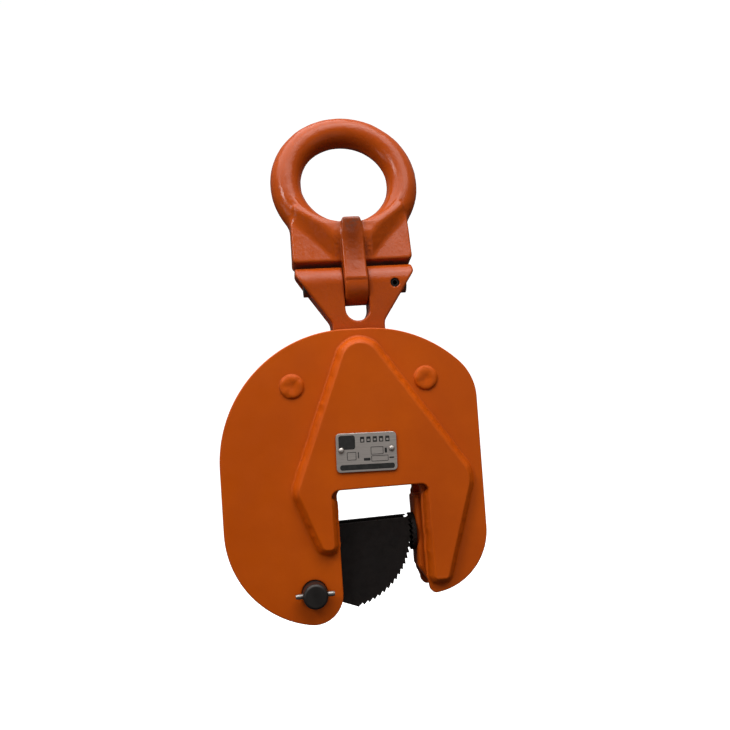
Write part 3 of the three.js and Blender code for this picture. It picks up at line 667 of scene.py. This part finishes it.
# ---- materials

class Nodes:
    """A short way to write a node material."""

    def __init__(self, name):
        self.material = bpy.data.materials.new(name)
        self.material.use_nodes = True
        self.tree = self.material.node_tree
        self.shader = self.tree.nodes["Principled BSDF"]
        self.where = self.add("ShaderNodeTexCoord").outputs["Object"]

    def add(self, kind, **settings):
        node = self.tree.nodes.new(kind)
        for key, value in settings.items():
            setattr(node, key, value)
        return node

    def link(self, source, socket):
        self.tree.links.new(source, socket)

    def put(self, socket, value):
        if isinstance(value, bpy.types.NodeSocket):
            self.link(value, socket)
        else:
            socket.default_value = value

    def noise(self, scale, detail=3.0, rough=0.55, stretch=None):
        node = self.add("ShaderNodeTexNoise")
        where = self.where
        if stretch:
            mapping = self.add("ShaderNodeMapping")
            self.link(where, mapping.inputs["Vector"])
            mapping.inputs["Scale"].default_value = stretch
            where = mapping.outputs["Vector"]
        self.link(where, node.inputs["Vector"])
        node.inputs["Scale"].default_value = scale
        node.inputs["Detail"].default_value = detail
        node.inputs["Roughness"].default_value = rough
        node.inputs["Distortion"].default_value = 0.0
        return node.outputs["Fac"]

    def cells(self, scale):
        node = self.add("ShaderNodeTexVoronoi", feature="F1")
        self.link(self.where, node.inputs["Vector"])
        node.inputs["Scale"].default_value = scale
        return node.outputs["Distance"]

    def span(self, value, low, high, to_low=0.0, to_high=1.0):
        node = self.add("ShaderNodeMapRange", clamp=True)
        self.put(node.inputs["Value"], value)
        for key, v in (("From Min", low), ("From Max", high), ("To Min", to_low), ("To Max", to_high)):
            node.inputs[key].default_value = v
        return node.outputs["Result"]

    def mix(self, share, a, b):
        node = self.add("ShaderNodeMix", data_type="RGBA")
        sockets = {s.identifier: s for s in [*node.inputs, *node.outputs]}
        self.put(sockets["Factor_Float"], share)
        self.put(sockets["A_Color"], a)
        self.put(sockets["B_Color"], b)
        return sockets["Result_Color"]

    def blend(self, share, a, b):
        """A number that goes from a to b."""
        node = self.add("ShaderNodeMix", data_type="FLOAT")
        sockets = {s.identifier: s for s in [*node.inputs, *node.outputs]}
        self.put(sockets["Factor_Float"], share)
        self.put(sockets["A_Float"], a)
        self.put(sockets["B_Float"], b)
        return sockets["Result_Float"]

    def maths(self, kind, a, b=0.0):
        node = self.add("ShaderNodeMath", operation=kind)
        self.put(node.inputs[0], a)
        self.put(node.inputs[1], b)
        return node.outputs[0]

    def edges(self, low=0.52, high=0.62):
        return self.span(self.add("ShaderNodeNewGeometry").outputs["Pointiness"], low, high)

    # Ambient occlusion mask, 1 deep in crevices. Colour darkened by it is painted shade.
    def crevices(self, distance):
        node = self.add("ShaderNodeAmbientOcclusion", samples=6)
        node.inputs["Distance"].default_value = distance
        return self.span(node.outputs["AO"], 0.35, 0.95, 1.0, 0.0)

    def bump(self, *layers):
        """Layers of (height, strength, distance), finest last."""
        normal = None
        for height, strength, distance in layers:
            node = self.add("ShaderNodeBump")
            node.inputs["Strength"].default_value = strength
            node.inputs["Distance"].default_value = distance
            self.link(height, node.inputs["Height"])
            if normal is not None:
                self.link(normal, node.inputs["Normal"])
            normal = node.outputs["Normal"]
        self.link(normal, self.shader.inputs["Normal"])


def rgb(r, g, b):
    return (r, g, b, 1.0)


def paint(name, light, dark, gloss, wave, peel, shine, scuff_and_shade_at=False):
    m = Nodes(name)
    cloud = m.span(m.noise(18, 4), 0.35, 0.65)
    fine = m.span(m.noise(140, 3), 0.35, 0.7)
    colour = m.mix(cloud, light, dark)
    colour = m.mix(m.maths("MULTIPLY", fine, 0.22), colour, dark)
    # Darker in creases and hollows by ambient occlusion: painted shade. The same mask also makes them
    # rougher.
    crease_shade = m.crevices(0.0035)
    crease_shade_colour = rgb(dark[0] * 0.42, dark[1] * 0.30, dark[2] * 0.3)
    colour = m.mix(m.maths("MULTIPLY", crease_shade, 0.55), colour, crease_shade_colour)
    specks = m.span(m.cells(260), 0.03, 0.09, 1.0, 0.0)
    gate = m.span(m.noise(60, 2), 0.62, 0.7)
    speck = m.maths("MULTIPLY", specks, gate)
    colour = m.mix(m.maths("MULTIPLY", speck, 0.5), colour, rgb(0.10, 0.03, 0.01))
    chips = m.maths("MULTIPLY", m.edges(0.56, 0.66), m.span(m.noise(220, 5, 0.7), 0.55, 0.68))
    colour = m.mix(m.maths("MULTIPLY", chips, 0.45), colour, rgb(0.16, 0.075, 0.04))
    thin = m.maths("MULTIPLY", m.edges(0.5, 0.6), 0.25)
    colour = m.mix(thin, colour, rgb(min(1, light[0] * 1.25), light[1] * 1.5, light[2] * 2 + 0.01))
    # Around scuff_and_shade_at: rubbed scuffs near the rib's top, and an ellipse of painted shade down the
    # rib's front.
    if scuff_and_shade_at:
        at = m.add("ShaderNodeTexCoord").outputs["Object"]
        away = m.add("ShaderNodeVectorMath", operation="DISTANCE")
        m.link(at, away.inputs[0])
        away.inputs[1].default_value = scuff_and_shade_at
        spot = m.span(away.outputs["Value"], 0.0045, 0.0105, 1.0, 0.0)
        along = m.add("ShaderNodeMapping")
        m.link(at, along.inputs["Vector"])
        scale = (1 / 0.0085, 0.0, 1 / 0.019)
        along.inputs["Scale"].default_value = scale
        along.inputs["Location"].default_value = (0.0, 0.0, (0.010 - scuff_and_shade_at[2]) * scale[2])
        off = m.add("ShaderNodeVectorMath", operation="LENGTH")
        m.link(along.outputs["Vector"], off.inputs[0])
        # The ellipse darkens the rib's front to dark brown: painted shade.
        painted_rib_shade = m.span(off.outputs["Value"], 0.2, 1.3, 0.8, 0.0)
        colour = m.mix(painted_rib_shade, colour, rgb(0.14, 0.019, 0.0015))
        rub = m.maths("MULTIPLY", spot, m.span(m.noise(330, 5, 0.7), 0.38, 0.6))
        colour = m.mix(m.maths("MULTIPLY", rub, 0.75), colour, rgb(0.11, 0.06, 0.045))
    m.link(colour, m.shader.inputs["Base Color"])
    rough = m.span(m.noise(75, 4), 0.3, 0.7, gloss - 0.06, gloss + 0.10)
    m.link(m.blend(m.maths("MULTIPLY", crease_shade, 0.6), rough, 0.62), m.shader.inputs["Roughness"])
    m.shader.inputs["Specular IOR Level"].default_value = shine
    m.bump(
        (m.noise(55, 2), wave, 0.0012),
        (m.noise(520, 3, 0.6), peel, 0.00025),
        (m.maths("SUBTRACT", 1.0, specks), 0.25 * peel, 0.0003),
    )
    return m.material


def blackened(name, base, edge, rough, metal=0.75):
    m = Nodes(name)
    m.shader.inputs["Specular IOR Level"].default_value = 0.3
    cloud = m.span(m.noise(60, 4), 0.35, 0.65)
    colour = m.mix(cloud, base, rgb(*(c * 0.6 for c in base[:3])))
    worn = m.maths("MULTIPLY", m.edges(0.53, 0.63), m.span(m.noise(300, 4, 0.7), 0.35, 0.65))
    colour = m.mix(worn, colour, edge)
    m.link(colour, m.shader.inputs["Base Color"])
    m.shader.inputs["Metallic"].default_value = metal
    m.link(m.span(m.noise(180, 4), 0.3, 0.7, rough - 0.08, rough + 0.12), m.shader.inputs["Roughness"])
    m.bump((m.noise(420, 4), 0.25, 0.0002), (m.noise(1500, 2), 0.2, 0.0001))
    return m.material


def steel(name, base, rough, stretch=None):
    m = Nodes(name)
    streak = m.span(m.noise(260, 4, 0.6, stretch), 0.3, 0.7)
    colour = m.mix(streak, base, rgb(*(c * 0.7 for c in base[:3])))
    # Darker in crevices by ambient occlusion: painted shade.
    colour = m.mix(m.maths("MULTIPLY", m.crevices(0.002), 0.6), colour, rgb(0.05, 0.04, 0.035))
    m.link(colour, m.shader.inputs["Base Color"])
    m.shader.inputs["Metallic"].default_value = 0.9
    m.link(m.span(streak, 0, 1, rough - 0.06, rough + 0.12), m.shader.inputs["Roughness"])
    m.bump((streak, 0.12, 0.0001), (m.noise(900, 3), 0.15, 0.0001))
    return m.material


def ink(name):
    m = Nodes(name)
    colour = m.mix(m.span(m.noise(400, 3), 0.3, 0.7), rgb(0.006, 0.006, 0.006), rgb(0.02, 0.018, 0.017))
    m.link(colour, m.shader.inputs["Base Color"])
    m.link(m.span(m.noise(500, 3), 0.3, 0.7, 0.45, 0.65), m.shader.inputs["Roughness"])
    m.bump((m.noise(1200, 2), 0.1, 0.00005))
    return m.material


def stage_material():
    m = Nodes("stage_pale")
    colour = m.mix(m.noise(3, 2), rgb(0.80, 0.80, 0.80), rgb(0.77, 0.77, 0.775))
    m.link(colour, m.shader.inputs["Base Color"])
    m.shader.inputs["Roughness"].default_value = 0.9
    m.shader.inputs["Emission Color"].default_value = rgb(1, 1, 1)
    m.shader.inputs["Emission Strength"].default_value = 0.82
    return m.material


# ---- the object

# rib_top centres the eye paint's scuffs and its painted shade down the rib.
rib_top = lean(np.array([[0.0, -11.5, 39.0]]))[0]
ORANGE = rgb(0.56, 0.088, 0.001)
DEEP = rgb(0.48, 0.070, 0.0008)
eye_orange, eye_deep = rgb(0.42, 0.066, 0.005), rgb(0.35, 0.050, 0.003)

plate_paint = paint("plate_paint", ORANGE, DEEP, 0.42, 0.14, 0.22, 0.16)
eye_paint = paint("eye_paint", eye_orange, eye_deep, 0.2, 0.36, 0.5, 0.22, tuple(place([rib_top])[0]))
black_oxide = blackened("black_oxide", rgb(0.004, 0.0014, 0.001), rgb(0.012, 0.008, 0.006), 0.75, 0.0)
pin_black = blackened("pin_black", rgb(0.045, 0.040, 0.038), rgb(0.16, 0.15, 0.14), 0.42, 0.6)
bright_steel = steel("bright_steel", rgb(0.30, 0.29, 0.28), 0.38)
spring_steel = steel("spring_steel", rgb(0.24, 0.23, 0.22), 0.35)
label_metal = steel("label_metal", rgb(0.62, 0.56, 0.52), 0.46, (0.4, 1, 8))
label_ink = ink("label_ink")

FINISH = {
    "plate_paint": plate_paint, "eye_paint": eye_paint, "black_oxide": black_oxide, "pin_black": pin_black,
    "bright_steel": bright_steel, "spring_steel": spring_steel, "label_metal": label_metal,
}


def finished(piece, slot, body, nodes=(), material=None):
    piece.data.materials.clear()
    piece.data.materials.append(material or FINISH[slot])
    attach(piece, body)
    if nodes:
        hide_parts(*nodes)
    return piece


finished(lifting_eye(), "eye_paint", "eye", ["lifting_eye"])
finished(pull_plate(), "eye_paint", "pull", ["pull_plate"])

outline = side_outline()
pin_hole = circle(*PIVOT, CAM_PIN_R + 0.2)
for name, y0, y1 in (("front_side_plate", -OUTER_Y, -HALF_GAP), ("rear_side_plate", HALF_GAP, OUTER_Y)):
    finished(plate(name + "_cut", outline, [pin_hole], y0, y1, edge=0.8), "plate_paint", "body", [name])
for name, sign, seed in (("front_reinforcement", -1, 20), ("rear_reinforcement", 1, 30)):
    finished(reinforcement(name + "_welded", sign, seed), "plate_paint", "body", [name + "_plate"])
for word, x, seed in (("left", RIVET_X[0], 41), ("right", RIVET_X[1], 43)):
    rivet = spacer_rivet(word + "_rivet_painted", x, RIVET_Z, seed)
    finished(rivet, "plate_paint", "body", [word + "_spacer_rivet"])
finished(jaw_block(), "plate_paint", "body", ["jaw_block"])
finished(cam_pin(), "pin_black", "body", ["cam_pin"])
for word, y, turn in (("front", -CROSS_PIN_Y, 0.0), ("rear", CROSS_PIN_Y, 1.0)):
    pin = roll_pin(word + "_roll_pin_slotted", y, turn)
    finished(pin, "bright_steel", "body", ["cam_pin_" + word + "_roll_pin"])

finished(rating_plate(), "label_metal", "body", ["rating_plate"])
for side, word in ((-1, "left"), (1, "right")):
    finished(drive_pin(word + "_drive_pin", side), "label_metal", "body", ["rating_plate_" + word + "_pin"])
marks = [
    print_mark("print_panel", label_loop(-16.2, -6.6, 1.9, 10.0, 1.4)),
    print_mark("print_band", label_loop(-15.8, 16.2, -10.0, -6.9, 1.3)),
    frame_mark("print_frame_left", -11.6, -6.2, -4.4, 0.3),
    frame_mark("print_frame_upper", 2.4, 9.8, -1.6, 2.9),
    frame_mark("print_frame_lower", 2.6, 12.6, -5.6, -2.2),
    print_mark("print_bar_unit", label_loop(-5.2, -4.6, -3.4, 0.1, 0.1, 0.2)),
    print_mark("print_bar_upper", label_loop(10.6, 11.9, -0.9, 2.0, 0.2, 0.2)),
    print_mark("print_bar_lower", label_loop(-1.8, 2.0, -5.0, -3.4, 0.2, 0.2)),
    print_mark("print_bar_end", label_loop(13.2, 16.0, -4.2, -3.4, 0.2, 0.2)),
]
for i in range(5):
    x = -3.6 + i * 3.7
    outer = label_loop(x, x + 2.5, 5.6, 8.9, 0.2, 0.2)
    inner = label_loop(x + 0.55, x + 1.95, 6.15 + 0.2 * (i % 3), 7.6, 0.1, 0.2)
    marks.append(print_mark("print_tile_%d" % (i + 1), outer, [inner]))
for mark in marks:
    finished(mark, "label_metal", "body", material=label_ink)

for name, slot in (
    ("cam", "black_oxide"), ("jaw_pad", "black_oxide"), ("jaw_pad_screw", "pin_black"),
    ("hinge_pin", "pin_black"),
    ("hinge_roll_pin", "pin_black"), ("upper_link_pin", "bright_steel"),
    ("connecting_link", "bright_steel"),
    ("lower_link_pin", "bright_steel"), ("closing_spring", "spring_steel"),
    ("spring_anchor_pin", "plate_paint"),
):
    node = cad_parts[name]
    if not node.material_slots:
        node.data.materials.append(None)
    for s in node.material_slots:
        s.link = "OBJECT"
        # The hinge roll pin takes near-black black_oxide, not its dark pin_black, so its recessed end reads
        # as a dark hole. This is partly its own dark finish and partly painted shade.
        s.material = black_oxide if name == "hinge_roll_pin" else FINISH[slot]

# ---- stage, lights and camera

def stage():
    """A round studio sweep; its own glow keeps it pale and doesn't light the object."""
    floor_z, floor_r, bend_r, wall_z = -150.0, 1300.0, 500.0, 1900.0
    profile = [(r, floor_z) for r in (60, 250, 600, 1000, floor_r)]
    for a in np.linspace(0, math.pi / 2, 16)[1:]:
        profile.append((floor_r + bend_r * math.sin(a), floor_z + bend_r * (1 - math.cos(a))))
    profile.append((floor_r + bend_r, wall_z))
    n = 96
    a = np.linspace(0, 2 * math.pi, n, endpoint=False)
    vertices = [(r * math.cos(t), r * math.sin(t), z) for r, z in profile for t in a]
    faces = [f[::-1] for f in lofted([range(n)] * len(profile), 0)]
    faces.append(list(range(n)))
    o = new_mesh("studio_sweep", vertices, faces, sharp_deg=60)
    o.data.materials.append(stage_material())
    o.visible_diffuse = o.visible_glossy = o.visible_shadow = False


def area_light(name, at, target, size, power):
    light = bpy.data.lights.new(name, "AREA")
    light.shape = "SQUARE"
    light.size = size
    light.energy = power
    o = bpy.data.objects.new(name, light)
    bpy.context.scene.collection.objects.link(o)
    o.location = place([at])[0]
    o.rotation_euler = Vector(place([target])[0] - place([at])[0]).to_track_quat("-Z", "Y").to_euler()


def camera():
    yaw, pitch, roll = math.radians(8), math.radians(2.5), math.radians(4)
    forward = Vector((math.sin(yaw) * math.cos(pitch), math.cos(yaw) * math.cos(pitch), math.sin(pitch)))
    right = Vector((math.cos(yaw), -math.sin(yaw), 0))
    up = right.cross(forward)
    turned_right = right * math.cos(roll) - up * math.sin(roll)
    turned_up = right * math.sin(roll) + up * math.cos(roll)
    data = bpy.data.cameras.new("camera")
    data.sensor_width = 36
    data.lens = 36 * 800 / 730
    data.clip_start, data.clip_end = 0.01, 20
    o = bpy.data.objects.new("camera", data)
    bpy.context.scene.collection.objects.link(o)
    turn = Matrix((turned_right, turned_up, -forward)).transposed()
    o.matrix_world = Matrix.Translation(Vector(place([(-65.0, -484.5, 50.1)])[0])) @ turn.to_4x4()
    bpy.context.scene.camera = o


stage()
area_light("overhead", (-150, -150, 900), (0, 0, 60), 0.9, 8)
area_light("key_left", (-620, -560, 620), (0, 0, 60), 0.25, 3.0)
area_light("front_high", (380, -700, 1150), (0, 0, 0), 0.8, 8.4)
area_light("front_low", (650, -1300, -150), (0, 0, -30), 1.2, 1.6)
area_light("side_left", (-1000, -450, 100), (0, 0, -20), 0.4, 1.0)
camera()

def studio_world():
    """Soft surroundings: pale above, dim at eye level and dark below."""
    world = bpy.data.worlds.new("studio")
    world.use_nodes = True
    tree = world.node_tree
    at = tree.nodes.new("ShaderNodeTexCoord")
    split = tree.nodes.new("ShaderNodeSeparateXYZ")
    tree.links.new(at.outputs["Generated"], split.inputs["Vector"])
    ramp = tree.nodes.new("ShaderNodeValToRGB")
    tree.links.new(split.outputs["Z"], ramp.inputs["Fac"])
    ramp.color_ramp.interpolation = "EASE"
    ramp.color_ramp.elements[0].position = 0.0
    ramp.color_ramp.elements[0].color = rgb(0.10, 0.095, 0.09)
    ramp.color_ramp.elements[1].position = 0.9
    ramp.color_ramp.elements[1].color = rgb(1.0, 0.98, 0.95)
    background = tree.nodes["Background"]
    tree.links.new(ramp.outputs["Color"], background.inputs["Color"])
    background.inputs["Strength"].default_value = WORLD
    bpy.context.scene.world = world


WORLD = 0.42
studio_world()
bpy.context.scene.view_settings.view_transform = "Standard"

bpy.context.view_layer.update()
